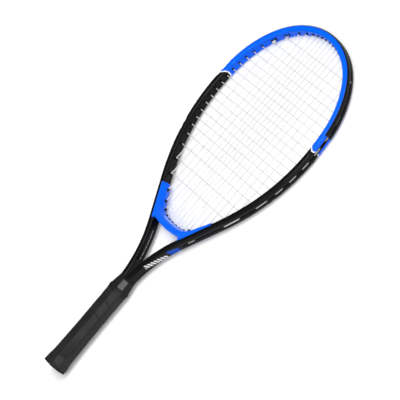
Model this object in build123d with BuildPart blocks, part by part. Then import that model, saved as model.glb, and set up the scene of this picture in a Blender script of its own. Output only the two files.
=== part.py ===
from build123d import *
import math
import os

# Junior tennis racket, 25 inches (635 mm) long.
# Frame: origin at the centre of the butt's end face, +Y from the butt to the tip,
# +X across the string bed, +Z out of its front. All sizes are in millimetres.

# ---- driving dimensions -------------------------------------------------------------------
LENGTH = 635.0           # butt face to the outside of the bumper at the tip
CLEAR = 0.05             # gap between pieces that are fitted together

BUMPER_SKIN = 1.2        # bumper standing proud of the hoop
TUBE_WIDTH = 9.8         # seen from the front
TUBE_DEPTH = 17.5        # along Z
TUBE_CORNER = 3.0
TUBE_WALL = 1.3
GROOVE_WIDTH = 6.4       # string groove along the outside of the tube
GROOVE_DEPTH = 2.4

# Half of the tube's centreline, from the tip round to the throat: radius and turn of each arc.
HOOP_ARCS = ((113.0, 50.3), (146.0, 30.2), (272.0, 32.8), (360.0, 9.0))
NECK_RADIUS = 197.0      # each arm bends back here, to run straight down the handle
LEG_X = TUBE_WIDTH / 2 + 0.2
LEG_END = 14.0           # lower end of both tube legs

STRING_DIA = 1.3
WEAVE = 0.79             # height of a string's centreline over or under the bed's middle plane
MAIN_X = (4.8, 13.6, 22.9, 32.0, 43.2, 55.4, 69.9, 85.2)
CROSS_START = 328.3
CROSS_GAPS = (22.3, 20.8, 17.2, 14.6) + (12.9,) * 9 + (13.1, 13.4, 13.9, 14.8, 17.2)

BARREL_OD = 3.6
BARREL_ID = 1.9
BARREL_PROUD = 1.8       # barrel standing out of the hoop's inner face
BASE = 0.8               # grommet strip on the floor of the groove
CHANNEL = 3.2            # width of the string channel in the strip
MAX_SLANT = 16.0         # a barrel leans this far from square to the tube, degrees

BRIDGE_LIP = 1.0         # bridge standing proud of the tube's front and back
BRIDGE_LOW = 261.0       # underside of the bridge on the centreline
BRIDGE_HIGH = 274.4      # crest of the bridge on the centreline
BRIDGE_UNDER_RADIUS = 136.0

WRAP = 1.6               # grip wrap thickness
GRIP_HALF_X = 15.7       # outside of the wrapped grip
GRIP_HALF_Z = 14.45
GRIP_BEVEL = 8.0
WRAP_TOP = 149.4
FLARE = ((2.0, 1.17), (9.5, 1.155), (17.0, 1.09), (24.0, 1.035), (31.0, 1.0))

# ---- the hoop's centreline ------------------------------------------------------------------
TIP = LENGTH - BUMPER_SKIN - TUBE_WIDTH / 2
SPREAD = sum(turn for _, turn in HOOP_ARCS)          # heading where the straight arm starts
LEAN = math.radians(SPREAD - 90)


def hoop_arcs():
    """Centre, radius and end heading of each arc of the right half."""
    arcs = []
    heading = 0.0
    centre = Vector(0, TIP)
    radius = 0.0
    for next_radius, turn in HOOP_ARCS:
        normal = Vector(math.sin(math.radians(heading)), math.cos(math.radians(heading)))
        centre = centre + normal * (radius - next_radius)
        radius = next_radius
        heading += turn
        arcs.append((centre, radius, heading))
    return arcs


ARCS = hoop_arcs()


def normal_at(heading):
    """Outward normal of the hoop at a heading, in degrees from the tip; negative on the left."""
    return Vector(math.sin(math.radians(heading)), math.cos(math.radians(heading)))


def hoop(heading, offset=0.0):
    """Point at a heading, moved outwards from the centreline by offset."""
    side = -1 if heading < 0 else 1
    for centre, radius, end in ARCS:
        if abs(heading) <= end + 1e-9:
            break
    return Vector(side * centre.X, centre.Y) + normal_at(heading) * (radius + offset)


ARM_TOP = hoop(SPREAD)
ARM_LENGTH = (ARM_TOP.X - LEG_X - NECK_RADIUS * (1 - math.cos(LEAN))) / math.sin(LEAN)
NECK_TOP = ARM_TOP.Y - ARM_LENGTH * math.cos(LEAN)
LEG_TOP = NECK_TOP - NECK_RADIUS * math.sin(LEAN)


def arm(along, offset, side):
    """Point on the straight arm, at a distance below its top and an offset outwards."""
    down = Vector(-math.sin(LEAN), -math.cos(LEAN))
    point = ARM_TOP + down * along + normal_at(SPREAD) * offset
    return Vector(side * point.X, point.Y)


def heading_where(axis, value, low, high, offset):
    """Heading at which the offset hoop has the given X or Y, found by halving the range."""
    rising = getattr(hoop(high, offset), axis) > getattr(hoop(low, offset), axis)
    for _ in range(40):
        middle = (low + high) / 2
        if (getattr(hoop(middle, offset), axis) < value) == rising:
            low = middle
        else:
            high = middle
    return low


def offset_of(point):
    """Distance of a point outside the hoop's centreline, and the heading nearest to it."""
    for centre, radius, end in ARCS:
        from_centre = Vector(abs(point.X) - centre.X, point.Y - centre.Y)
        heading = math.degrees(math.atan2(from_centre.X, from_centre.Y))
        if heading <= end:
            break
    return from_centre.length - radius, math.copysign(heading, point.X)


def along_to(start, direction, offset):
    """Point where a line from start reaches the given offset."""
    low, high = 0.0, 60.0
    for _ in range(40):
        middle = (low + high) / 2
        if offset_of(start + direction * middle)[0] < offset:
            low = middle
        else:
            high = middle
    return start + direction * low


# ---- where the strings go through the frame ---------------------------------------------------
GROOVE_FLOOR = TUBE_WIDTH / 2 - GROOVE_DEPTH
CHANNEL_FLOOR = GROOVE_FLOOR + BASE
STRING_SEAT = GROOVE_FLOOR + BASE + STRING_DIA / 2 + CLEAR     # string's centreline in the channel
MOUTH = -(TUBE_WIDTH / 2 + BARREL_PROUD)                       # inner end of a barrel
BEND = MOUTH - 0.9                                             # where a string turns into its barrel


class Exit:
    """One string end: the bend inside the hoop, the barrel's two ends and the seat outside."""

    def __init__(self, bend, seat, zone, floor_back=STRING_SEAT - GROOVE_FLOOR, heading=None):
        self.bend = bend
        self.seat = seat
        self.zone = zone
        self.heading = heading
        self.way = (seat - bend).normalized()
        slant = 1.0
        if heading is not None:
            slant = self.way.dot(normal_at(heading))
        self.mouth = bend + self.way * (0.9 / slant)
        self.foot = seat - self.way * (floor_back / slant)


BUMPER_END = 82.0        # heading at which the bumper stops, on both sides
STRIP_CHANNEL_END = 66.0     # along the arm: the string channel stops below the last grommet


def hoop_exit(line, string_way):
    """Exit of a string whose line meets the hoop at a heading; string_way points outwards."""
    bend = hoop(line, BEND)
    normal = normal_at(line)
    lean = math.degrees(math.atan2(normal.X * string_way.Y - normal.Y * string_way.X,
                                   normal.dot(string_way)))
    lean = max(-MAX_SLANT, min(MAX_SLANT, lean))
    way = normal.rotate(Axis.Z, lean)
    seat = along_to(bend, way, STRING_SEAT)
    seat_heading = offset_of(seat)[1]
    if abs(seat_heading) < BUMPER_END:
        zone = "bumper"
    else:
        zone = "left" if seat_heading < 0 else "right"
    return Exit(bend, seat, zone, heading=line)


CROSS_Y = [CROSS_START + sum(CROSS_GAPS[:n]) for n in range(len(CROSS_GAPS) + 1)]
BRIDGE_MAINS = 4         # mains on each side that pass through the bridge
CORNER_SEATS = {4: 58.0, 5: 46.0}    # mains through the bridge's corner: seat along the arm
STANDING = (1.0, 1.0, 1.6, 3.8, 3.4, 2.2)    # barrels of these mains stand this far above it


def crest_y(x):
    """Height of the bridge's crest above the butt, over its middle arc and corner arc."""
    x = abs(x)
    flat_end = CREST_RADIUS * math.sin(CREST_TURN)
    if x < flat_end:
        return BRIDGE_HIGH + CREST_RADIUS - math.sqrt(CREST_RADIUS**2 - x**2)
    corner_x = flat_end - CORNER_RADIUS * math.sin(CREST_TURN)
    corner_y = (BRIDGE_HIGH + CREST_RADIUS * (1 - math.cos(CREST_TURN))
                + CORNER_RADIUS * math.cos(CREST_TURN))
    turn = min(math.asin(min(1.0, (x - corner_x) / CORNER_RADIUS)), CREST_END)
    start = corner_x + CORNER_RADIUS * math.sin(turn)
    return corner_y - CORNER_RADIUS * math.cos(turn) + (x - start) * math.tan(turn)


CREST_RADIUS = 150.0
CORNER_RADIUS = 34.0
CREST_TURN = math.radians(7.66)     # turn of the middle arc, each side
CREST_END = math.radians(52.0)       # slope of the bridge's shoulders
UNDER_DEPTH = 2.2                    # groove under the bridge
BRIDGE_GROOVE = 37.0                 # half length of that groove


def under_y(x, above=0.0):
    """Underside of the bridge, or a curve inside it at a height above."""
    radius = BRIDGE_UNDER_RADIUS - above
    return BRIDGE_LOW + BRIDGE_UNDER_RADIUS - math.sqrt(radius**2 - x**2)


def main_exits(number, side):
    """Top and bottom exits of one main."""
    x = side * MAIN_X[number]
    top = heading_where("X", x, 0.0, side * 80.0, BEND)
    upper = hoop_exit(top, Vector(0, 1))
    if number < BRIDGE_MAINS:
        seat = Vector(x, under_y(x, UNDER_DEPTH - BASE - STRING_DIA / 2 - CLEAR))
        bend = Vector(x, crest_y(x) + STANDING[number] + 0.9)
        lower = Exit(bend, seat, "bridge", floor_back=-(BASE + STRING_DIA / 2 + CLEAR))
        lower.foot = Vector(x, under_y(x, UNDER_DEPTH))
    elif number in CORNER_SEATS:
        seat = arm(CORNER_SEATS[number], STRING_SEAT, side)
        bend = Vector(x, crest_y(x) + STANDING[number] + 0.9)
        lower = Exit(bend, seat, "left" if side < 0 else "right")
        reach = (seat - bend).normalized()
        normal = Vector(side * normal_at(SPREAD).X, normal_at(SPREAD).Y)
        lower.foot = seat - reach * ((STRING_SEAT - GROOVE_FLOOR) / reach.dot(normal))
        lower.mouth = bend + reach * 0.9
    else:
        # The last two mains share a barrel with the first two crosses.
        heading = heading_where("Y", CROSS_Y[number - 6], side * 60.0, side * SPREAD, BEND)
        lower = hoop_exit(heading, Vector(side * 0.5, -1).normalized())
    return upper, lower


def cross_exit(number, side):
    """Exit of one cross on one side."""
    heading = heading_where("Y", CROSS_Y[number], 0.0, side * SPREAD, BEND)
    if number < 2:
        return hoop_exit(heading, Vector(side * 0.5, -1).normalized())
    return hoop_exit(heading, Vector(side, 0))


MAIN_EXITS = {(n, side): main_exits(n, side) for n in range(len(MAIN_X)) for side in (-1, 1)}
CROSS_EXITS = {(n, side): cross_exit(n, side) for n in range(len(CROSS_Y)) for side in (-1, 1)}
ALL_EXITS = [e for pair in MAIN_EXITS.values() for e in pair]
ALL_EXITS += [e for (n, _), e in CROSS_EXITS.items() if n >= 2]
WIDE = [MAIN_EXITS[n, side][1] for n in (6, 7) for side in (-1, 1)]     # two strings share these
WIDE += [MAIN_EXITS[7, side][0] for side in (-1, 1)]                    # tie-off grommets


WIDE_EXTRA = 1.5         # extra diameter of a wide barrel
FLARE_OUT = 0.6          # outer mouth of a bore opens out this far


def barrels(exits, diameter, extra_out, extra_in, mode=Mode.ADD):
    """A cylinder along each exit, past its foot by extra_out and past its mouth by extra_in."""
    for e in exits:
        start = e.foot + e.way * extra_out
        length = (e.mouth - start).length + extra_in
        radius = (diameter + (WIDE_EXTRA if e in WIDE else 0.0)) / 2
        with Locations(Plane(origin=(start.X, start.Y, 0), z_dir=e.way * -1)):
            Cylinder(radius, length, align=(Align.CENTER, Align.CENTER, Align.MIN), mode=mode)

# ---- paths ------------------------------------------------------------------------------------
def half_hoop(offset, start, end):
    """Arcs of the offset hoop between two headings of one sign, added to the open line."""
    edges = []
    low = start
    for _, radius, stop in ARCS:
        high = min(stop, end)
        if high - low > 1e-6:
            middle = (low + high) / 2
            edges.append(ThreePointArc(hoop(low, offset), hoop(middle, offset), hoop(high, offset)))
            low = high
    return edges


def neck_bend():
    """The arm's lower end and the bend that brings it straight down, from below upwards."""
    arm_end = arm(ARM_LENGTH, 0.0, 1)
    bend_centre = arm_end + normal_at(SPREAD) * NECK_RADIUS
    half = LEAN / 2
    middle = bend_centre - Vector(math.cos(half), -math.sin(half)) * NECK_RADIUS
    ThreePointArc((LEG_X, LEG_TOP), middle, arm_end)
    Line(arm_end, arm(STRIP_CHANNEL_END, 0.0, 1))


def frame_line():
    """The tube's whole centreline: leg, neck bend, arm and hoop, and the same mirrored."""
    half_hoop(0.0, 0.0, SPREAD)
    Line(ARM_TOP, arm(STRIP_CHANNEL_END, 0.0, 1))
    neck_bend()
    Line((LEG_X, LEG_TOP), (LEG_X, LEG_END))
    mirror(about=Plane.YZ)


LEG_PLANE = Plane(origin=(-LEG_X, LEG_END, 0), x_dir=(-1, 0, 0), z_dir=(0, 1, 0))


def tube_outline(grow=0.0, grooved=True):
    """Section of the tube in a plane whose X points out of the hoop."""
    RectangleRounded(TUBE_WIDTH + 2 * grow, TUBE_DEPTH + 2 * grow, TUBE_CORNER + grow)
    if grooved:
        with Locations((TUBE_WIDTH / 2, 0)):
            Rectangle(2 * GROOVE_DEPTH, GROOVE_WIDTH, mode=Mode.SUBTRACT)


def strip_outline(top):
    """Grommet strip in the groove, from its floor to a height, with the string channel open."""
    with Locations(((GROOVE_FLOOR + CLEAR + top) / 2, 0)):
        Rectangle(top - GROOVE_FLOOR - CLEAR, GROOVE_WIDTH - 2 * CLEAR)
    cut_channel()


def cut_channel():
    with Locations((CHANNEL_FLOOR + GROOVE_DEPTH, 0)):
        Rectangle(2 * GROOVE_DEPTH, CHANNEL, mode=Mode.SUBTRACT)


def hoop_plane(heading):
    """Plane square to the hoop at a heading, with its X pointing outwards."""
    normal = normal_at(heading)
    start = hoop(heading)
    return Plane(origin=(start.X, start.Y, 0), x_dir=(normal.X, normal.Y, 0),
                 z_dir=(normal.Y, -normal.X, 0))


def bores(zone):
    """Bores of a zone's barrels, flared where the string turns into the channel."""
    exits = [e for e in ALL_EXITS if e.zone == zone]
    barrels(exits, BARREL_ID, 2.0, 1.0, Mode.SUBTRACT)
    for e in exits:
        flare = BARREL_ID / 2 + (WIDE_EXTRA / 2 if e in WIDE else 0.0)
        start = e.foot + e.way * (BASE + 0.2)
        with Locations(Plane(origin=(start.X, start.Y, 0), z_dir=e.way)):
            Cone(flare, flare + FLARE_OUT, 2 * FLARE_OUT, align=(Align.CENTER, Align.CENTER, Align.MAX),
                 mode=Mode.SUBTRACT)


def under_band(low, high, half_length):
    """Band following the bridge's underside between two heights above it."""
    with Locations((0, BRIDGE_LOW + BRIDGE_UNDER_RADIUS)):
        Circle(BRIDGE_UNDER_RADIUS - low)
        Circle(BRIDGE_UNDER_RADIUS - high, mode=Mode.SUBTRACT)
    with Locations((0, BRIDGE_LOW)):
        Rectangle(2 * half_length, BRIDGE_UNDER_RADIUS, mode=Mode.INTERSECT)


def across(y):
    """Plane across the handle at a distance from the butt, facing the tip."""
    return Plane(origin=(0, y, 0), x_dir=(1, 0, 0), z_dir=(0, 1, 0))


def octagon(y, half_x, half_z, bevel):
    """Handle section across the given distance from the butt."""
    outline = [(half_x, half_z - bevel), (half_x - bevel, half_z), (bevel - half_x, half_z),
               (-half_x, half_z - bevel), (-half_x, bevel - half_z), (bevel - half_x, -half_z),
               (half_x - bevel, -half_z), (half_x, bevel - half_z)]
    return Face(Wire.make_polygon([Vector(x, y, z) for x, z in outline]))


def grip_section(y, factor, inside):
    """Grip outline scaled by the flare and moved inwards by a distance, edges staying parallel."""
    return octagon(y, GRIP_HALF_X * factor - inside, GRIP_HALF_Z * factor - inside,
                   GRIP_BEVEL * factor - inside * (2 - math.sqrt(2)))


def flared(stations, inside, mode=Mode.ADD):
    """Solid through the grip's sections at (distance, factor) stations."""
    loft([grip_section(y, factor, inside) for y, factor in stations], ruled=True, mode=mode)


# Room for the tube with its groove filled: cut out of the pieces that fit round the tube.
with BuildPart() as envelope:
    with BuildLine() as envelope_path:
        frame_line()
    with BuildSketch(LEG_PLANE):
        tube_outline(CLEAR, grooved=False)
    sweep(path=envelope_path.wire())

os.makedirs("parts", exist_ok=True)


def save(piece, name):
    """Label a finished piece and write its STEP file."""
    piece.part.label = name
    export_step(piece.part, "parts/" + name + ".step")


# ---- frame_tube: one bent aluminium extrusion ---------------------------------------------------
with BuildPart() as frame_tube:
    with BuildLine() as tube_path:
        frame_line()
    with BuildSketch(LEG_PLANE):
        tube_outline()
        offset(amount=-TUBE_WALL, mode=Mode.SUBTRACT)
    sweep(path=tube_path.wire())
    barrels([e for e in ALL_EXITS if e.zone != "bridge"], BARREL_OD + 2 * CLEAR, 1.0, 1.0,
            Mode.SUBTRACT)
save(frame_tube, "frame_tube")

# ---- bumper_guard: moulded skin over the head with the grommet barrels in one piece --------------
SKIN_FROM = 3.9          # the skin starts part way round the tube's outer corners
SKIN_CORNER = TUBE_CORNER + 1.6      # it thins out towards that edge


with BuildPart() as bumper_guard:
    with BuildLine() as bumper_path:
        half_hoop(0.0, 0.0, BUMPER_END)
        mirror(about=Plane.YZ)
    with BuildSketch(hoop_plane(-BUMPER_END)):
        RectangleRounded(TUBE_WIDTH + 2 * BUMPER_SKIN, TUBE_DEPTH + 0.2, SKIN_CORNER)
        RectangleRounded(TUBE_WIDTH + 2 * CLEAR, TUBE_DEPTH + 2 * CLEAR, TUBE_CORNER + CLEAR,
                         mode=Mode.SUBTRACT)
        with Locations((SKIN_FROM - TUBE_WIDTH, 0)):
            Rectangle(2 * TUBE_WIDTH, 2 * TUBE_DEPTH, mode=Mode.SUBTRACT)
        strip_outline(TUBE_WIDTH / 2 + BUMPER_SKIN / 2)
    sweep(path=bumper_path.wire())
    barrels([e for e in ALL_EXITS if e.zone == "bumper"], BARREL_OD, BASE / 2, 0.0)
    bores("bumper")
save(bumper_guard, "bumper_guard")

# ---- grommet strips: from the bumper's end down each arm, filling its groove below the strings ---
STRIP_END_Y = 169.0
STRIP_TOP = TUBE_WIDTH / 2 - 0.1
STRIP_GAP = 0.3              # turn between the bumper's end and the strip's, degrees

for side, zone in ((-1, "left"), (1, "right")):
    with BuildPart() as grommet_strip:
        with BuildLine() as strip_path:
            half_hoop(0.0, BUMPER_END + STRIP_GAP, SPREAD)
            Line(ARM_TOP, arm(STRIP_CHANNEL_END, 0.0, 1))
        with BuildSketch(hoop_plane(BUMPER_END + STRIP_GAP)):
            strip_outline(STRIP_TOP)
        sweep(path=strip_path.wire())
        with BuildLine() as filler_path:
            neck_bend()
        with BuildSketch(Plane(origin=(LEG_X, LEG_TOP, 0), z_dir=(0, 1, 0), x_dir=(1, 0, 0))):
            with Locations(((GROOVE_FLOOR + CLEAR + STRIP_TOP) / 2, 0)):
                Rectangle(STRIP_TOP - GROOVE_FLOOR - CLEAR, GROOVE_WIDTH - 2 * CLEAR)
        sweep(path=filler_path.wire())
        with Locations((0, STRIP_END_Y, 0)):
            Box(LENGTH, LENGTH, LENGTH, align=(Align.CENTER, Align.MAX, Align.CENTER),
                mode=Mode.SUBTRACT)
        if side < 0:
            mirror(about=Plane.YZ, mode=Mode.REPLACE)
        barrels([e for e in ALL_EXITS if e.zone == zone], BARREL_OD, BASE / 2, 0.0)
        bores(zone)
    save(grommet_strip, "grommet_strip_" + zone)

# ---- throat_bridge: moulded yoke that closes the hoop, clipped over both arms -------------------
BRIDGE_HALF = TUBE_DEPTH / 2 + BRIDGE_LIP
CREST_FLAT = 2.4         # half width of the flat along the crest
CREST_DROP = 4.2         # the bevels on both sides of it fall this far
SHOULDER = 31.0          # straight shoulder, from the corner arc to the thin end of the saddle
SADDLE_EDGE = -1.7       # the saddle's lips reach this far round the tube
SADDLE_END = 67.5        # along the arm: lower end of the saddle
SADDLE_WALL = 1.6


def crest_line(shoulder):
    """Crest of the bridge from its middle to the right, ending in a straight shoulder."""
    first = CREST_RADIUS * math.sin(CREST_TURN)
    last = first + CORNER_RADIUS * (math.sin(CREST_END) - math.sin(CREST_TURN))
    ThreePointArc((0, crest_y(0)), (first / 2, crest_y(first / 2)), (first, crest_y(first)))
    between = (first + last) / 2
    ThreePointArc((first, crest_y(first)), (between, crest_y(between)), (last, crest_y(last)))
    end = Vector(last, crest_y(last)) + Vector(math.cos(CREST_END), math.sin(CREST_END)) * shoulder
    Line((last, crest_y(last)), end)
    return end


def saddle_meets_underside():
    """Distance along the arm at which the saddle's inner wall meets the bridge's underside."""
    low, high = 40.0, SADDLE_END
    for _ in range(40):
        middle = (low + high) / 2
        point = arm(middle, -TUBE_WIDTH / 2 - CLEAR - SADDLE_WALL, 1)
        if point.Y > under_y(point.X):
            low = middle
        else:
            high = middle
    return low


with BuildPart() as throat_bridge:
    with BuildSketch():
        with BuildLine():
            shoulder_end = crest_line(SHOULDER)
            top_along = (ARM_TOP - shoulder_end).dot(Vector(math.sin(LEAN), math.cos(LEAN)))
            wall = -TUBE_WIDTH / 2 - CLEAR - SADDLE_WALL
            meet = saddle_meets_underside()
            under_end = arm(meet, wall, 1)
            Polyline(shoulder_end, arm(top_along, SADDLE_EDGE, 1), arm(SADDLE_END, SADDLE_EDGE, 1),
                     arm(SADDLE_END, wall, 1), under_end)
            ThreePointArc(under_end, (under_end.X / 2, under_y(under_end.X / 2)), (0, under_y(0)))
            mirror(about=Plane.YZ)
        make_face()
    extrude(amount=BRIDGE_HALF, both=True)
    with BuildLine() as crest:
        crest_line(SHOULDER + 6.0)
        mirror(about=Plane.YZ)
    crest_wire = crest.wire()
    if (crest_wire @ 0).X > 0:
        crest_wire = Wire(crest_wire.edges().sort_by(Axis.X))
    slope = CREST_DROP / (BRIDGE_HALF - CREST_FLAT)
    with BuildSketch(Plane(origin=crest_wire @ 0, x_dir=(0, 0, 1), z_dir=crest_wire % 0)):
        with BuildLine():
            Polyline((CREST_FLAT - 1.0, -slope), (BRIDGE_HALF + 1.0, CREST_DROP + slope),
                     (BRIDGE_HALF + 1.0, -slope), close=True)
        make_face()
        mirror(about=Plane.YZ)
    sweep(path=crest_wire, mode=Mode.SUBTRACT)
    with BuildSketch():
        under_band(-1.0, UNDER_DEPTH, BRIDGE_GROOVE)
    extrude(amount=GROOVE_WIDTH / 2, both=True, mode=Mode.SUBTRACT)
    add(envelope.part, mode=Mode.SUBTRACT)
    corners = [MAIN_EXITS[n, side][1] for n in CORNER_SEATS for side in (-1, 1)]
    barrels([e for e in ALL_EXITS if e.zone == "bridge"] + corners, BARREL_OD + 2 * CLEAR, 1.0, 1.0,
            Mode.SUBTRACT)
save(throat_bridge, "throat_bridge")

# ---- bridge_grommets: strip under the bridge with a barrel for each of its strings ---------------
with BuildPart() as bridge_grommets:
    with BuildSketch():
        under_band(UNDER_DEPTH - BASE, UNDER_DEPTH - CLEAR, BRIDGE_GROOVE - CLEAR)
    extrude(amount=GROOVE_WIDTH / 2 - CLEAR, both=True)
    barrels([e for e in ALL_EXITS if e.zone == "bridge"], BARREL_OD, BASE / 2, 0.0)
    bores("bridge")
save(bridge_grommets, "bridge_grommets")

# ---- throat_wedge: filler where the two arms part ------------------------------------------------
WEDGE_LOW = 166.0
WEDGE_HIGH = 198.0
WEDGE_DEPTH = 13.0

with BuildPart() as throat_wedge:
    with BuildSketch():
        with BuildLine():
            Polyline((8, WEDGE_HIGH + 3), (8, WEDGE_LOW), (-8, WEDGE_LOW), (-8, WEDGE_HIGH + 3))
            ThreePointArc((-8, WEDGE_HIGH + 3), (0, WEDGE_HIGH), (8, WEDGE_HIGH + 3))
        make_face()
    extrude(amount=WEDGE_DEPTH / 2, both=True)
    add(envelope.part, mode=Mode.SUBTRACT)
save(throat_wedge, "throat_wedge")

# ---- leg_plugs: moulded plugs pressed into the two open ends of the tube --------------------------
PLUG_FLANGE = 1.4
PLUG_DEPTH = 12.0

with BuildPart() as leg_plugs:
    with BuildSketch(across(LEG_END - CLEAR)):
        with Locations((LEG_X, 0)):
            RectangleRounded(TUBE_WIDTH, TUBE_DEPTH, TUBE_CORNER)
    extrude(amount=-PLUG_FLANGE)
    with BuildSketch(across(LEG_END - CLEAR)):
        with Locations((LEG_X - GROOVE_DEPTH / 2, 0)):
            RectangleRounded(TUBE_WIDTH - 2 * TUBE_WALL - GROOVE_DEPTH - 2 * CLEAR,
                             TUBE_DEPTH - 2 * TUBE_WALL - 2 * CLEAR, TUBE_CORNER - TUBE_WALL)
    extrude(amount=PLUG_DEPTH)
    mirror(about=Plane.YZ)
save(leg_plugs, "leg_plugs")

# ---- handle pallets: two moulded halves around the tube's legs -----------------------------------
PALLET_LOW = 3.1
PALLET_HIGH = 149.0
STEP_END = 30.5          # the butt cap's skirt is let into the pallets up to here
STEP_INSIDE = 2.8        # pallet under the skirt, measured inwards from the grip's outside
PIN_Y = (40.0, 90.0, 135.0)
PIN_X = 12.05
PIN_DIA = 2.4
PIN_HALF = 4.0
STAPLE_Y = 20.0
STAPLE_WIDTH = 10.0
STAPLE_WIRE = 0.8
STAPLE_TOP = 13.4        # crown of a staple, sunk in the skirt
STAPLE_TIP = 9.6


def pins(radius, half_length, mode=Mode.ADD):
    for x in (-PIN_X, PIN_X):
        for y in PIN_Y:
            with Locations((x, y, 0)):
                Cylinder(radius, 2 * half_length, mode=mode)


def staples(grow, mode=Mode.ADD):
    """Both staples as solids, grown by a clearance."""
    wire = STAPLE_WIRE + 2 * grow
    for side in (-1, 1):
        with Locations((0, STAPLE_Y, side * (STAPLE_TOP - STAPLE_WIRE / 2))):
            Box(STAPLE_WIDTH + 2 * grow, wire, wire, mode=mode)
        for x in (-1, 1):
            with Locations((x * (STAPLE_WIDTH - STAPLE_WIRE) / 2, STAPLE_Y,
                            side * (STAPLE_TOP + STAPLE_TIP) / 2)):
                Box(wire, wire, STAPLE_TOP - STAPLE_TIP + 2 * grow, mode=mode)


for side, name in ((1, "pallet_front"), (-1, "pallet_back")):
    with BuildPart() as pallet:
        flared(((PALLET_LOW, 1.0), (STEP_END, 1.0)), STEP_INSIDE)
        flared(((STEP_END, 1.0), (PALLET_HIGH, 1.0)), WRAP + CLEAR)
        with BuildSketch(across(LEG_END - PLUG_FLANGE - 2 * CLEAR)):
            RectangleRounded(2 * LEG_X + TUBE_WIDTH + 2 * CLEAR, TUBE_DEPTH + 2 * CLEAR, TUBE_CORNER)
        extrude(amount=PALLET_HIGH, mode=Mode.SUBTRACT)
        with Locations((0, 0, -side * (LENGTH / 2 - CLEAR / 2))):
            Box(LENGTH, LENGTH, LENGTH, mode=Mode.SUBTRACT)
        pins(PIN_DIA / 2 + CLEAR, PIN_HALF + CLEAR, Mode.SUBTRACT)
        staples(CLEAR, Mode.SUBTRACT)
    save(pallet, name)

with BuildPart() as pallet_pins:
    pins(PIN_DIA / 2, PIN_HALF)
save(pallet_pins, "pallet_pins")

# ---- butt_cap, its plug and its staples ----------------------------------------------------------
CAP_WALL = 3.0
CAP_CHAMFER = 1.2
CAP_TOP = 30.0
PLUG_RADIUS = 11.0
PLUG_DISC = 1.3
PLUG_STEM = 7.0

with BuildPart() as butt_cap:
    flared(((0.0, FLARE[0][1]), (FLARE[0][0], FLARE[0][1])), 0.0)
    chamfer(butt_cap.edges().group_by(Axis.Y)[0], CAP_CHAMFER)
    flared(FLARE[:-1] + ((CAP_TOP, FLARE[-1][1] + 0.004),), WRAP + CLEAR)
    flared(((CAP_WALL, 1.0), (CAP_TOP + 1.0, 1.0)), STEP_INSIDE - CLEAR, Mode.SUBTRACT)
    with Locations(across(0.0)):
        Cylinder(PLUG_RADIUS + CLEAR, 2 * (PLUG_DISC + CLEAR), mode=Mode.SUBTRACT)
        Cylinder(PLUG_STEM + CLEAR, 3 * CAP_WALL, mode=Mode.SUBTRACT)
    staples(CLEAR, Mode.SUBTRACT)
save(butt_cap, "butt_cap")

with BuildPart() as butt_plug:
    with Locations(across(0.0)):
        Cylinder(PLUG_RADIUS, PLUG_DISC, align=(Align.CENTER, Align.CENTER, Align.MIN))
        Cylinder(PLUG_STEM, CAP_WALL, align=(Align.CENTER, Align.CENTER, Align.MIN))
save(butt_plug, "butt_plug")

with BuildPart() as butt_staples:
    staples(0.0)
save(butt_staples, "butt_staples")

# ---- grip_wrap: cushioned wrap over the handle ---------------------------------------------------
WRAP_LOW = FLARE[0][0] + CLEAR

with BuildPart() as grip_wrap:
    stations = ((WRAP_LOW, FLARE[0][1]),) + FLARE[1:] + ((WRAP_TOP, 1.0),)
    flared(stations, 0.0)
    flared(((WRAP_LOW - 1.0, FLARE[0][1]),) + stations[1:-1] + ((WRAP_TOP + 1.0, 1.0),), WRAP,
           Mode.SUBTRACT)
save(grip_wrap, "grip_wrap")

# ---- finishing_tape: holds down the wrap's upper end ---------------------------------------------
TAPE = 0.2
TAPE_LOW = 142.0
TAPE_HIGH = 149.3

with BuildPart() as finishing_tape:
    flared(((TAPE_LOW, 1.0), (TAPE_HIGH, 1.0)), -CLEAR - TAPE)
    flared(((TAPE_LOW, 1.0), (TAPE_HIGH, 1.0)), -CLEAR, Mode.SUBTRACT)
save(finishing_tape, "finishing_tape")

# ---- grip_collar: rubber sleeve from the wrap up on to the neck ----------------------------------
COLLAR_LOW = 146.0
COLLAR_SHOULDER = 150.2
COLLAR_HIGH = 168.0
COLLAR_LIP = 0.75        # rubber over the tape
COLLAR_TOP = (11.5, 10.0, 3.4)       # half width, half depth and bevel at the upper end

with BuildPart() as grip_collar:
    flared(((COLLAR_LOW, 1.0), (COLLAR_SHOULDER, 1.0)), -COLLAR_LIP)
    loft([grip_section(COLLAR_SHOULDER, 1.0, 0.1), octagon(COLLAR_HIGH, *COLLAR_TOP)], ruled=True)
    flared(((COLLAR_LOW - 1.0, 1.0), (WRAP_TOP + CLEAR, 1.0)), -TAPE - 2 * CLEAR, Mode.SUBTRACT)
    add(envelope.part, mode=Mode.SUBTRACT)
    with Locations((0, COLLAR_HIGH, 0)):
        Box(TUBE_WIDTH, 2 * (COLLAR_HIGH - WRAP_TOP), TUBE_DEPTH + 2 * CLEAR, mode=Mode.SUBTRACT)
save(grip_collar, "grip_collar")

# ---- strings: two cords, each following its real route from one tied end to the other ------------
SIDE_BY_SIDE = 0.75      # strings that share a barrel or the channel lie this far off its middle
PEAK_RADIUS = 8.0        # bend radii: where strings cross, at a barrel's mouth, at its seat outside
MOUTH_RADIUS = 3.0
SEAT_RADIUS = 1.3
LOOP_RADIUS = 12.0
LOOP_STEP = 5.5          # longest straight run of a string that follows the hoop's channel
LIFT = 1.4               # a loop that crosses over a tied end rises this far
KNOT_LENGTH = 2.2
KNOT_RADIUS = 1.9
KNOT_INSET = 1.0         # from a string's bend inside the hoop to its knot


def at(point, z):
    return Vector(point.X, point.Y, z)


def height(main, cross):
    """Height of the main over the bed's middle at a crossing; mains count outwards, left < 0."""
    return WEAVE if (main + cross) % 2 else -WEAVE


def main_height(number, side, cross):
    return height(number if side > 0 else -1 - number, cross)


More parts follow.
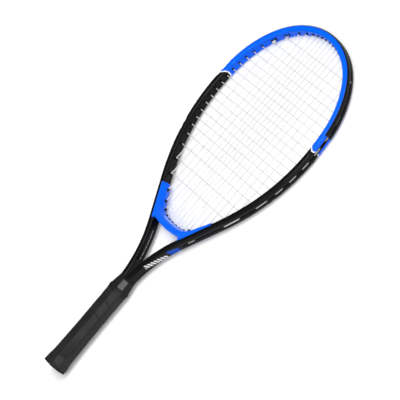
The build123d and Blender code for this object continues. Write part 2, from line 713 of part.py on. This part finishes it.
def crosses_of(number, side):
    """Crosses that a main passes between its two bends."""
    upper, lower = MAIN_EXITS[number, side]
    return [n for n, y in enumerate(CROSS_Y)
            if lower.bend.Y + 1.5 < y < upper.bend.Y - 1.5
            and MAIN_X[number] < CROSS_EXITS[n, 1].bend.X - 1.0]


def main_run(number, side, downwards):
    """Points of one main from seat to seat."""
    upper, lower = MAIN_EXITS[number, side]
    low_z = SIDE_BY_SIDE if number >= 6 else 0.0
    top_z = main_height(number, side, 17) if number == 7 else 0.0
    run = [(at(lower.seat, low_z), SEAT_RADIUS), (at(lower.bend, low_z), MOUTH_RADIUS)]
    for n in crosses_of(number, side):
        run.append((Vector(side * MAIN_X[number], CROSS_Y[n], main_height(number, side, n)),
                    PEAK_RADIUS))
    run += [(at(upper.bend, top_z), MOUTH_RADIUS), (at(upper.seat, top_z), SEAT_RADIUS)]
    return run[::-1] if downwards else run


def cross_run(number, leftwards):
    """Points of one cross from seat to seat."""
    z = -SIDE_BY_SIDE if number < 2 else 0.0
    left, right = CROSS_EXITS[number, -1], CROSS_EXITS[number, 1]
    run = [(at(left.seat, z), SEAT_RADIUS), (at(left.bend, z), MOUTH_RADIUS)]
    for main in range(-len(MAIN_X), len(MAIN_X)):
        side = -1 if main < 0 else 1
        count = -1 - main if main < 0 else main
        if number in crosses_of(count, side):
            run.append((Vector(side * MAIN_X[count], CROSS_Y[number], -height(main, number)),
                        PEAK_RADIUS))
    run += [(at(right.bend, z), MOUTH_RADIUS), (at(right.seat, z), SEAT_RADIUS)]
    return run[::-1] if leftwards else run


def loop_between(start, end, z, over=None):
    """Points between two seats along the hoop's channel, rising over a tied end on the way."""
    first, last = offset_of(start)[1], offset_of(end)[1]
    if max(abs(first), abs(last)) > SPREAD:
        return []
    steps = math.ceil((end - start).length / LOOP_STEP)
    points = []
    for n in range(1, steps):
        heading = first + (last - first) * n / steps
        lift = LIFT if over is not None and abs(heading - over) < 2.4 else 0.0
        points.append((at(hoop(heading, STRING_SEAT + 0.03 + lift), z), LOOP_RADIUS))
    return points


def bridge_loop(start, end):
    """Point between two seats under the bridge."""
    x = (start.X + end.X) / 2
    return [(Vector(x, under_y(x, UNDER_DEPTH - BASE - STRING_DIA / 2 - CLEAR) - 0.03), LOOP_RADIUS)]


def main_route():
    """The mains' string, from its tied end at the upper left to the one at the upper right."""
    order = [(n, -1) for n in range(len(MAIN_X) - 1, -1, -1)] + [(n, 1) for n in range(len(MAIN_X))]
    route = []
    for count, (number, side) in enumerate(order):
        run = main_run(number, side, downwards=count % 2 == 0)
        if route:
            start, end = route[-1][0], run[0][0]
            if count % 2 == 1 and number < BRIDGE_MAINS:
                route += bridge_loop(start, end)
            elif count % 2 == 0 or number >= 6:
                route += loop_between(start, end, start.Z)
        route += run
    return tied_back(route[0][0], -1) + route + tied_back(route[-1][0], 1)[::-1]


def tied_back(seat, side):
    """The string's end, back through the barrel of its last main to the knot inside the hoop."""
    bend = MAIN_EXITS[7, side][0].bend
    return [(Vector(bend.X, bend.Y - KNOT_INSET, -seat.Z), 0.0), (at(bend, -seat.Z), MOUTH_RADIUS),
            (at(seat, -seat.Z), SEAT_RADIUS)]


def cross_route():
    """The crosses' string, from its tied end at the lower left to the one at the upper right."""
    route = []
    for number in range(len(CROSS_Y)):
        run = cross_run(number, leftwards=number % 2 == 1)
        if route:
            start, end = route[-1][0], run[0][0]
            over = None
            if number == len(CROSS_Y) - 1:
                over = offset_of(MAIN_EXITS[7, -1][0].seat)[1]
            route += loop_between(start, end, start.Z, over)
        route += run
    first, last = route[0][0], route[-1][0]
    low_end = (at(arm(LOW_KNOT, STRING_SEAT, -1), first.Z), 0.0)
    high_end = (at(hoop(HIGH_KNOT, STRING_SEAT), last.Z), 0.0)
    return [low_end] + route + [high_end]


LOW_KNOT = 0.5           # along the left arm
HIGH_KNOT = 47.2         # heading


def bend_radii(route):
    """Radius at each inner point: the wanted one, or less where the runs beside it are short."""
    radii = []
    for (before, _), (here, wanted), (after, _) in zip(route, route[1:], route[2:]):
        turn = math.radians((here - before).get_angle(after - here))
        room = 0.48 * min((here - before).length, (after - here).length)
        radii.append(round(min(wanted, room / math.tan(turn / 2)) if turn > 1e-6 else wanted, 3))
    return radii


for route, name in ((main_route(), "main_string"), (cross_route(), "cross_string")):
    radii = bend_radii(route)
    with BuildPart() as string:
        with BuildLine() as string_path:
            FilletPolyline(*[point for point, _ in route], radius=radii)
        string_wire = string_path.wire()
        with BuildSketch(Plane(origin=string_wire @ 0, z_dir=string_wire % 0)):
            Circle(STRING_DIA / 2)
        sweep(path=string_wire)
    section = math.pi * STRING_DIA**2 / 4
    print(name, "points", len(route), "length", round(string_wire.length, 1), "bend radii",
          min(radii), "to", max(radii), "volume", round(string.part.volume, 1),
          "section x length", round(section * string_wire.length, 1))
    save(string, name)

# ---- tie_off_knots: one at each end of both strings ----------------------------------------------
CHANNEL_KNOT_RADIUS = 1.15
CHANNEL_KNOT = 3.0

with BuildPart() as tie_off_knots:
    for side in (-1, 1):
        bend = MAIN_EXITS[7, side][0].bend
        top = bend.Y - KNOT_INSET - CLEAR
        with Locations(Plane(origin=(bend.X, top, 0), z_dir=(0, -1, 0))):
            Cylinder(KNOT_RADIUS, KNOT_LENGTH, align=(Align.CENTER, Align.CENTER, Align.MIN))
        with Locations(Plane(origin=(bend.X, top, main_height(7, side, 17)), z_dir=(0, -1, 0))):
            Cylinder(STRING_DIA / 2 + 0.15, 3 * KNOT_LENGTH, mode=Mode.SUBTRACT)
    knot_seat = CHANNEL_FLOOR + CLEAR + CHANNEL_KNOT_RADIUS
    low_knot = arm(LOW_KNOT + CLEAR, knot_seat, -1)
    with Locations(Plane(origin=(low_knot.X, low_knot.Y, 0),
                         z_dir=(math.sin(LEAN), -math.cos(LEAN), 0))):
        Cylinder(CHANNEL_KNOT_RADIUS, CHANNEL_KNOT, align=(Align.CENTER, Align.CENTER, Align.MIN))
    high_knot = hoop(HIGH_KNOT, knot_seat)
    high_way = Vector(math.cos(math.radians(HIGH_KNOT)), -math.sin(math.radians(HIGH_KNOT)))
    start = high_knot + high_way * CLEAR
    with Locations(Plane(origin=(start.X, start.Y, 0), z_dir=high_way)):
        Cylinder(CHANNEL_KNOT_RADIUS, CHANNEL_KNOT, align=(Align.CENTER, Align.CENTER, Align.MIN))
save(tie_off_knots, "tie_off_knots")
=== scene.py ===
"""Tennis racket: materials, wound grip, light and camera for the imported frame.

Lengths are in metres, in the frame's own axes: origin at the butt, +Y to the tip of the head,
+X across the string bed and +Z out of its front.
"""
import math

import bpy
from mathutils import Matrix, Vector


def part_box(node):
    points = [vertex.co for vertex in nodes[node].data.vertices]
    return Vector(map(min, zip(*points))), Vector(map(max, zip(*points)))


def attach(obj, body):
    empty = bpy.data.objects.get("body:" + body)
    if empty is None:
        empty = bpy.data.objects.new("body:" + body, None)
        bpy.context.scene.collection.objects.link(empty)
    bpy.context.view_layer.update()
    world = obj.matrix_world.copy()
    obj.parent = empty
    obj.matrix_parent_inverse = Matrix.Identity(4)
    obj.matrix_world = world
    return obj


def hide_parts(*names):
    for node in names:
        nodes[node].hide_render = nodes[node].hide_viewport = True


MM = 0.001
BLACK = (0.003, 0.003, 0.0033, 1.0)
BLUE = (0.0, 0.11, 0.82, 1.0)
WHITE = (0.85, 0.86, 0.87, 1.0)
SILVER = (0.45, 0.46, 0.47, 1.0)

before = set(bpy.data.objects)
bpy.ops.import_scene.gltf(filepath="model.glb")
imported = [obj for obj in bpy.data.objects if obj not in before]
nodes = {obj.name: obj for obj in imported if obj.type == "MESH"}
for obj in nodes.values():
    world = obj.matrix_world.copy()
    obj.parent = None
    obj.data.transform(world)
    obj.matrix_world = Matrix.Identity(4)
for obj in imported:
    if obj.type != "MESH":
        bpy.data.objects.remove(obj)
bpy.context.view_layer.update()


# ---- node helpers --------------------------------------------------------------------------------
class Shader:
    """A Principled material and the nodes that feed it."""

    def __init__(self, name, color=None, roughness=0.4, **inputs):
        self.material = bpy.data.materials.new(name)
        self.material.use_nodes = True
        self.tree = self.material.node_tree
        self.surface = self.tree.nodes["Principled BSDF"]
        self.surface.inputs["Roughness"].default_value = roughness
        if color is not None:
            self.surface.inputs["Base Color"].default_value = color
        for key, value in inputs.items():
            self.surface.inputs[key.replace("_", " ")].default_value = value
        place = self.tree.nodes.new("ShaderNodeTexCoord")
        self.position = place.outputs["Object"]
        self.normal = place.outputs["Normal"]

    def link(self, output, target):
        self.tree.links.new(output, target)

    def math(self, operation, *values):
        node = self.tree.nodes.new("ShaderNodeMath")
        node.operation = operation
        for socket, value in zip(node.inputs, values):
            if isinstance(value, (int, float)):
                socket.default_value = value
            else:
                self.link(value, socket)
        return node.outputs[0]

    def split(self, vector):
        node = self.tree.nodes.new("ShaderNodeSeparateXYZ")
        self.link(vector, node.inputs[0])
        return node.outputs

    def between(self, value, low, high):
        """1 where low < value < high."""
        above = self.math("GREATER_THAN", value, low)
        return self.math("MULTIPLY", above, self.math("LESS_THAN", value, high))

    def all_of(self, *masks):
        result = masks[0]
        for mask in masks[1:]:
            result = self.math("MULTIPLY", result, mask)
        return result

    def mix(self, mask, first, second):
        """The first colour where the mask is 0, the second where it is 1."""
        node = self.tree.nodes.new("ShaderNodeMix")
        node.data_type = "RGBA"
        self.link(mask, node.inputs["Factor"])
        for socket, value in ((node.inputs[6], first), (node.inputs[7], second)):
            if isinstance(value, tuple):
                socket.default_value = value
            else:
                self.link(value, socket)
        return node.outputs[2]

    def noise(self, scale, detail=2.0):
        node = self.tree.nodes.new("ShaderNodeTexNoise")
        node.inputs["Scale"].default_value = scale
        node.inputs["Detail"].default_value = detail
        self.link(self.position, node.inputs["Vector"])
        return node.outputs["Fac"]

    def spread(self, value, low, high):
        """A noise value, 0.3 to 0.7, spread over a new range."""
        node = self.tree.nodes.new("ShaderNodeMapRange")
        self.link(value, node.inputs["Value"])
        ends = (("From Min", 0.3), ("From Max", 0.7), ("To Min", low), ("To Max", high))
        for key, number in ends:
            node.inputs[key].default_value = number
        return node.outputs["Result"]

    def dashes(self, value, pitch, share):
        """1 over the first share of every pitch along a value."""
        return self.math("LESS_THAN", self.math("FRACT", self.math("DIVIDE", value, pitch)), share)

    def bump(self, height, strength, distance):
        node = self.tree.nodes.new("ShaderNodeBump")
        node.inputs["Strength"].default_value = strength
        node.inputs["Distance"].default_value = distance
        self.link(height, node.inputs["Height"])
        self.link(node.outputs["Normal"], self.surface.inputs["Normal"])

    def color(self, output):
        self.link(output, self.surface.inputs["Base Color"])

    def roughness(self, output):
        self.link(output, self.surface.inputs["Roughness"])

    def uneven(self, scale, low, high):
        """Roughness that wanders between two values."""
        self.roughness(self.spread(self.noise(scale), low, high))


def dress(material, *names):
    """Give CAD nodes a material."""
    for name in names:
        slots = nodes[name].data.materials
        slots.clear()
        slots.append(material)


# ---- printed decoration on the arms --------------------------------------------------------------
MARK = (197.8 * MM, 234.0 * MM)      # bars on the right arm, along Y
MARK_HALF = 4.1 * MM                 # half height of the bars
MARK_START_Z = 3.4 * MM              # their middle at the lower end
BAR_PITCH, BAR_SHARE, BAR_SLANT = 5.0 * MM, 0.56, 0.45
PATCH = (236.8 * MM, 252.0 * MM)     # blue flash above them
PATCH_START_Z = 5.2 * MM             # its front edge at the lower end
PATCH_SLANT = 0.25
PATCH_BLUE = (0.0, 0.06, 0.45, 1.0)
MARK_FALL = -0.24                    # the print falls this much in Z for each length along Y
PINSTRIPE = (201.0 * MM, 246.0 * MM)  # broken silver line inside the left arm
PINSTRIPE_HALF = 0.45 * MM
DASH_PITCH, DASH_SHARE = 9.0 * MM, 0.86
FACING = 0.5                         # least X of a normal that counts as facing +X


def arm_print(shader, base):
    """White bars and a blue flash outside the right arm, a silver line inside the left one."""
    x, y, z = shader.split(shader.position)
    facing = shader.math("GREATER_THAN", shader.split(shader.normal)[0], FACING)
    outside_right = shader.math("MULTIPLY", facing, shader.math("GREATER_THAN", x, 0.0))
    inside_left = shader.math("MULTIPLY", facing, shader.math("LESS_THAN", x, 0.0))
    # The bars' middle runs from the front towards the back of the face as it climbs.
    along = shader.math("SUBTRACT", y, MARK[0])
    middle = shader.math("MULTIPLY_ADD", along, MARK_FALL, MARK_START_Z)
    height = shader.math("SUBTRACT", z, middle)
    slant = shader.math("MULTIPLY_ADD", height, BAR_SLANT, y)
    bars = shader.all_of(outside_right, shader.between(y, *MARK),
                         shader.dashes(slant, BAR_PITCH, BAR_SHARE),
                         shader.between(height, -MARK_HALF, MARK_HALF))
    along = shader.math("SUBTRACT", y, PATCH[0])
    edge = shader.math("MULTIPLY_ADD", along, MARK_FALL, PATCH_START_Z)
    slant = shader.math("MULTIPLY_ADD", z, PATCH_SLANT, y)
    patch = shader.all_of(outside_right, shader.between(slant, *PATCH),
                          shader.math("LESS_THAN", z, edge))
    line = shader.all_of(inside_left, shader.between(y, *PINSTRIPE),
                         shader.dashes(y, DASH_PITCH, DASH_SHARE),
                         shader.between(z, -PINSTRIPE_HALF, PINSTRIPE_HALF))
    color = shader.mix(patch, base, PATCH_BLUE)
    color = shader.mix(bars, color, WHITE)
    return shader.mix(line, color, SILVER)


# ---- frame paint ---------------------------------------------------------------------------------
BORDER_LEFT = 499.2 * MM             # where blue meets black inside the hoop, on each side
BORDER_RIGHT = 492.6 * MM
BORDER_WIDTH = 2.1 * MM
INNER_FACE = 117.7 * MM              # |x| of the tube's inner face at the border
CORNER_START = 3.5 * MM              # |z| from which the border starts to sink
SINK, SINK_POWER = 0.33 * MM, 1.3    # it sinks by SINK times this power of the way round, in mm


def frame_paint():
    shader = Shader("frame_paint", roughness=0.14, Specular_IOR_Level=0.12)
    x, y, z = shader.split(shader.position)
    right = shader.math("GREATER_THAN", x, 0.0)
    # The border sinks round the tube's corners and on towards the outside of the hoop.
    across = shader.math("SUBTRACT", shader.math("ABSOLUTE", x), INNER_FACE)
    across = shader.math("MAXIMUM", across, 0.0)
    corner = shader.math("SUBTRACT", shader.math("ABSOLUTE", z), CORNER_START)
    around = shader.math("ADD", across, shader.math("MAXIMUM", corner, 0.0))
    drop = shader.math("POWER", shader.math("DIVIDE", around, MM), SINK_POWER)
    drop = shader.math("MULTIPLY", drop, SINK)
    start = shader.math("MULTIPLY_ADD", right, BORDER_RIGHT - BORDER_LEFT, BORDER_LEFT)
    above = shader.math("SUBTRACT", y, shader.math("SUBTRACT", start, drop))
    blue = shader.math("GREATER_THAN", above, 0.0)
    line = shader.between(above, -BORDER_WIDTH, 0.0)
    color = shader.mix(blue, arm_print(shader, BLACK), BLUE)
    color = shader.mix(line, color, WHITE)
    shader.color(color)
    shader.uneven(60.0, 0.10, 0.18)
    shader.bump(shader.noise(420.0, 1.0), 0.04, 0.2 * MM)
    return shader.material


# ---- plastics, strings, handle -------------------------------------------------------------------
# Painted highlights: a row of lighter blue ticks on the bridge's front bevel, standing for
# reflections.
TICK_PITCH, TICK_SHARE = 4.4 * MM, 0.62
TICKS_HALF = 20.5 * MM               # the row of ticks reaches this far each side of the middle
TICKS_Z = (4.6 * MM, 6.4 * MM)
TICKS_ABOVE = 8.0 * MM               # lowest place for them, above the bridge's lowest point
TICK_HIGHLIGHT_BLUE = (0.5, 0.72, 1.0, 1.0)


def bridge_plastic():
    shader = Shader("bridge_plastic", roughness=0.2, Specular_IOR_Level=0.3)
    x, y, z = shader.split(shader.position)
    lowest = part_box("throat_bridge")[0][1] + TICKS_ABOVE
    # Painted reflections: lighter blue ticks along the front bevel.
    tick_highlights = shader.all_of(shader.between(x, -TICKS_HALF, TICKS_HALF), shader.between(z, *TICKS_Z),
                          shader.dashes(x, TICK_PITCH, TICK_SHARE),
                          shader.math("GREATER_THAN", y, lowest))
    shader.color(shader.mix(tick_highlights, BLUE, TICK_HIGHLIGHT_BLUE))
    shader.uneven(70.0, 0.16, 0.26)
    shader.bump(shader.noise(500.0, 1.0), 0.05, 0.2 * MM)
    return shader.material


def moulded(name, color, low, high, grain, depth, printed):
    """Moulded plastic or rubber with a fine grain."""
    shader = Shader(name, color=color, roughness=high, Specular_IOR_Level=0.1)
    if printed:
        shader.color(arm_print(shader, color))
    shader.uneven(grain / 8, low, high)
    shader.bump(shader.noise(grain), 0.25, depth)
    return shader.material


def string_gut():
    shader = Shader("string", roughness=0.3, Coat_Weight=0.3)
    streak = shader.noise(900.0, 1.0)
    shader.color(shader.mix(shader.spread(streak, 0.0, 1.0), (0.56, 0.56, 0.55, 1.0),
                            (0.68, 0.68, 0.67, 1.0)))
    shader.roughness(shader.spread(streak, 0.24, 0.4))
    return shader.material


WRAP_PITCH = 23.5 * MM               # one turn of the wrap along the handle
SEAM_WIDTH = 1.5 * MM
SEAM_DEPTH = 0.7 * MM
HOLE_STEP = 3.4 * MM                 # spacing of the wrap's perforations
HOLE_RADIUS = 0.13                   # of one perforation, as a share of their spacing


def grip_leather():
    shader = Shader("grip", roughness=0.5, Specular_IOR_Level=0.25)
    uv = shader.tree.nodes.new("ShaderNodeUVMap").outputs["UV"]
    along, across, _ = shader.split(uv)
    squares = []
    for value in (along, across):
        wave = shader.math("FRACT", shader.math("DIVIDE", value, HOLE_STEP))
        away = shader.math("SUBTRACT", wave, 0.5)
        squares.append(shader.math("MULTIPLY", away, away))
    reach = shader.math("SQRT", shader.math("ADD", *squares))
    pit = shader.math("LESS_THAN", reach, HOLE_RADIUS)
    grain = shader.noise(1400.0, 3.0)
    height = shader.math("SUBTRACT", shader.math("MULTIPLY", grain, 0.35), pit)
    shader.bump(height, 0.5, 0.25 * MM)
    tone = shader.mix(shader.spread(shader.noise(45.0), 0.0, 1.0), (0.006, 0.006, 0.0064, 1.0),
                      (0.012, 0.012, 0.0124, 1.0))
    shader.color(shader.mix(pit, tone, (0.006, 0.006, 0.006, 1.0)))
    shader.roughness(shader.spread(grain, 0.42, 0.6))
    return shader.material


# Painted highlight on the collar: a lighter grey rectangle on the bevel that faces +X and +Z.
PANEL_HALF = 4.6 * MM                # half width of the collar's panel
PANEL_INSET = (5.0 * MM, 3.0 * MM)   # from the collar's lower and upper end
PANEL_FACING = -0.1                  # least X and Z of the normals inside it
PANEL_HIGHLIGHT_GREYS = ((0.06, 0.06, 0.061, 1.0), (0.12, 0.12, 0.122, 1.0))


def collar_rubber():
    shader = Shader("collar_rubber", roughness=0.5, Specular_IOR_Level=0.12)
    x, y, z = shader.split(shader.position)
    normal = shader.split(shader.normal)
    low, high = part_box("grip_collar")
    # The panel is a painted highlight: a lighter rectangle on the bevel between +X and +Z, the
    # facet that faces the front light.
    over = shader.math("MULTIPLY", shader.math("SUBTRACT", x, z), math.sqrt(0.5))
    highlight_panel = shader.all_of(shader.math("GREATER_THAN", normal[0], PANEL_FACING),
                          shader.math("GREATER_THAN", normal[2], PANEL_FACING),
                          shader.between(over, -PANEL_HALF, PANEL_HALF),
                          shader.math("GREATER_THAN", shader.math("ADD", x, z), 0.0),
                          shader.between(y, low[1] + PANEL_INSET[0], high[1] - PANEL_INSET[1]))
    # Painted highlight greys, varied at random over the panel.
    painted_highlight = shader.mix(shader.spread(shader.noise(300.0, 3.0), 0.0, 1.0), *PANEL_HIGHLIGHT_GREYS)
    shader.color(shader.mix(highlight_panel, (0.009, 0.009, 0.0095, 1.0), painted_highlight))
    shader.uneven(200.0, 0.42, 0.6)
    shader.bump(shader.noise(1500.0), 0.2, 0.15 * MM)
    return shader.material


# ---- wound grip ----------------------------------------------------------------------------------
# Distance above the wrap's low end in mm, and the scale of its section there.
FLARE = ((0.0, 1.17), (7.5, 1.155), (15.0, 1.09), (22.0, 1.035), (29.0, 1.0))
GRIP_BEVEL = 8.0 * MM
WRAP_THICKNESS = 1.5 * MM
OVERLAP = 0.25 * MM                  # each turn sinks this far towards its far edge
END_ROUND = 0.2 * MM                 # the wrap's ends curl in over this length
SHARPNESS = 34.0                     # of the octagon's corners
RINGS_PER_TURN = 40
SIDES = 96


def flare_at(above):
    """Scale of the grip's section at a distance above the wrap's low end."""
    above = above / MM
    for (low, first), (high, second) in zip(FLARE, FLARE[1:]):
        if above < high:
            part = (above - low) / (high - low)
            return first + (second - first) * part
    return 1.0


def octagon_radius(angle, half_x, half_z, bevel):
    """Distance from the axis to the grip's octagon in a direction, its corners a little rounded."""
    c, s = abs(math.cos(angle)), abs(math.sin(angle))
    reach = [half_x / c if c > 1e-6 else 1e9, half_z / s if s > 1e-6 else 1e9]
    reach.append((half_x + half_z - bevel) / (c + s))
    return sum((1.0 / r) ** SHARPNESS for r in reach) ** (-1.0 / SHARPNESS)


def wound_grip():
    """The wrap as one strip wound round the handle, thick edge over thin edge."""
    low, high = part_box("grip_wrap")
    half_z = high[2] / FLARE[0][1]
    half_x = high[0] / FLARE[0][1]
    length = high[1] - low[1]
    rings = round(length / WRAP_PITCH * RINGS_PER_TURN)
    vertices, uvs, faces = [], [], []

    def ring(above, inset):
        scale = flare_at(above)
        for side in range(SIDES):
            angle = 2 * math.pi * side / SIDES
            turn = above / WRAP_PITCH - side / SIDES
            phase = (turn % 1.0) * WRAP_PITCH
            edge = min(phase, WRAP_PITCH - phase)
            groove = SEAM_DEPTH * math.exp(-(edge / (SEAM_WIDTH / 2)) ** 2)
            step = OVERLAP * (phase / WRAP_PITCH)
            radius = octagon_radius(angle, half_x * scale, half_z * scale, GRIP_BEVEL * scale)
            radius -= inset + (groove + step if inset == 0.0 else 0.0)
            vertices.append((radius * math.cos(angle), low[1] + above, radius * math.sin(angle)))
            uvs.append((turn * WRAP_PITCH, 2 * math.pi * half_x * side / SIDES))

    ring(END_ROUND, WRAP_THICKNESS)
    ring(0.0, WRAP_THICKNESS / 2)
    for n in range(rings + 1):
        ring(2 * END_ROUND + (length - 4 * END_ROUND) * n / rings, 0.0)
    ring(length, WRAP_THICKNESS / 2)
    ring(length - END_ROUND, WRAP_THICKNESS)
    count = rings + 5
    for row in range(count):
        for side in range(SIDES):
            here, across = row * SIDES + side, row * SIDES + (side + 1) % SIDES
            above = (row + 1) % count
            faces.append((here, above * SIDES + side, above * SIDES + (side + 1) % SIDES, across))
    mesh = bpy.data.meshes.new("wound_grip")
    mesh.from_pydata(vertices, [], faces)
    layer = mesh.uv_layers.new(name="strip")
    for loop in mesh.loops:
        layer.data[loop.index].uv = uvs[loop.vertex_index]
    for face in mesh.polygons:
        face.use_smooth = True
    grip = bpy.data.objects.new("wound_grip", mesh)
    bpy.context.collection.objects.link(grip)
    mesh.materials.append(grip_leather())
    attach(grip, "root")
    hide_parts("grip_wrap")


# ---- dressing the frame --------------------------------------------------------------------------
# Material, colour, least and most roughness, grain, its depth, printed or not, and the nodes.
MOULDED = (
    ("bumper_plastic", (0.008, 0.008, 0.0085, 1.0), 0.3, 0.42, 900.0, 0.1 * MM, False,
     ("bumper_guard",)),
    ("grommet_plastic", (0.007, 0.007, 0.0075, 1.0), 0.28, 0.4, 900.0, 0.1 * MM, True,
     ("grommet_strip_left", "grommet_strip_right", "bridge_grommets", "leg_plugs", "pallet_pins")),
    ("pallet_foam", (0.05, 0.05, 0.05, 1.0), 0.6, 0.8, 700.0, 0.2 * MM, False,
     ("pallet_front", "pallet_back")),
    ("cap_plastic", (0.009, 0.009, 0.0095, 1.0), 0.35, 0.5, 800.0, 0.12 * MM, False,
     ("butt_cap", "butt_plug", "throat_wedge")),
    ("tape", (0.012, 0.012, 0.0125, 1.0), 0.3, 0.45, 500.0, 0.1 * MM, False,
     ("finishing_tape",)),
)

dress(frame_paint(), "frame_tube")
dress(bridge_plastic(), "throat_bridge")
for *finish, names in MOULDED:
    dress(moulded(*finish), *names)
dress(collar_rubber(), "grip_collar")
dress(string_gut(), "main_string", "cross_string", "tie_off_knots")
steel = Shader("staple_steel", color=(0.6, 0.6, 0.6, 1.0), roughness=0.3, Metallic=1.0)
steel.uneven(800.0, 0.25, 0.4)
dress(steel.material, "butt_staples")
wound_grip()


# ---- floor, light and camera ---------------------------------------------------------------------
MIDDLE = (0.0, 0.32, 0.0)            # of the racket
WORLD_STRENGTH = 0.23
# Name, place, width and height, and power.
SOFTBOXES = (
    ("key", (0.3, 1.6, 3.0), (2.4, 2.4), 62.0),
    ("fill", (0.6, -1.8, 2.6), (2.0, 2.0), 28.0),
    ("front", (2.4, 0.3, 2.4), (1.3, 1.3), 50.0),
    ("strip", (0.0, 0.32, 2.6), (0.5, 1.2), 14.0),
)
FLOOR_REACH = 6.0
FLOOR_GAP = 0.3 * MM                 # keeps the floor clear of the butt
CAMERA_TARGET = Vector((9.1, 325.7, 0.0)) * MM
CAMERA_DISTANCE = 2926.0 * MM
AZIMUTH, ELEVATION, ROLL = math.radians(2.1), math.radians(45.5), math.radians(-51.37)
LENS, SENSOR = 180.0, 36.0


def floor():
    """Plain floor under the flared butt and the tip of the head, which the racket rests on."""
    butt_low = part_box("butt_cap")[0]
    head_low, head_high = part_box("bumper_guard")
    slope = (head_low[2] - butt_low[2]) / (head_high[1] - butt_low[1])
    mesh = bpy.data.meshes.new("floor")
    corners = [(FLOOR_REACH * x, FLOOR_REACH * y) for x, y in ((-1, -1), (1, -1), (1, 1), (-1, 1))]
    mesh.from_pydata([(x, y, butt_low[2] - FLOOR_GAP + slope * y) for x, y in corners], [],
                     [(0, 1, 2, 3)])
    plane = bpy.data.objects.new("floor", mesh)
    bpy.context.collection.objects.link(plane)
    paint = Shader("floor", color=(0.9, 0.9, 0.9, 1.0), roughness=0.9, Specular_IOR_Level=0.0)
    mesh.materials.append(paint.material)


def softbox(name, place, size, power):
    """A rectangular light aimed at the middle of the racket."""
    light = bpy.data.lights.new(name, "AREA")
    light.shape = "RECTANGLE"
    light.size, light.size_y = size
    light.energy = power
    lamp = bpy.data.objects.new(name, light)
    lamp.location = place
    lamp.rotation_euler = (Vector(MIDDLE) - Vector(place)).to_track_quat("-Z", "Y").to_euler()
    bpy.context.collection.objects.link(lamp)


def camera():
    """Long lens from the racket's front right, rolled so that the racket lies on the slant."""
    back = Vector((math.cos(AZIMUTH) * math.cos(ELEVATION), math.sin(AZIMUTH) * math.cos(ELEVATION),
                   math.sin(ELEVATION)))
    data = bpy.data.cameras.new("camera")
    data.lens = LENS
    data.sensor_width = SENSOR
    data.clip_end = 50.0
    eye = bpy.data.objects.new("camera", data)
    place = Matrix.Translation(CAMERA_TARGET + back * CAMERA_DISTANCE)
    look = (-back).to_track_quat("-Z", "Y").to_matrix().to_4x4()
    eye.matrix_world = place @ look @ Matrix.Rotation(ROLL, 4, "Z")
    bpy.context.collection.objects.link(eye)
    bpy.context.scene.camera = eye


floor()
world = bpy.data.worlds.new("studio")
world.use_nodes = True
backdrop = world.node_tree.nodes["Background"].inputs
backdrop[0].default_value = (1.0, 1.0, 1.0, 1.0)
backdrop[1].default_value = WORLD_STRENGTH
bpy.context.scene.world = world
for lamp in SOFTBOXES:
    softbox(*lamp)
bpy.context.scene.view_settings.view_transform = "Standard"
camera()
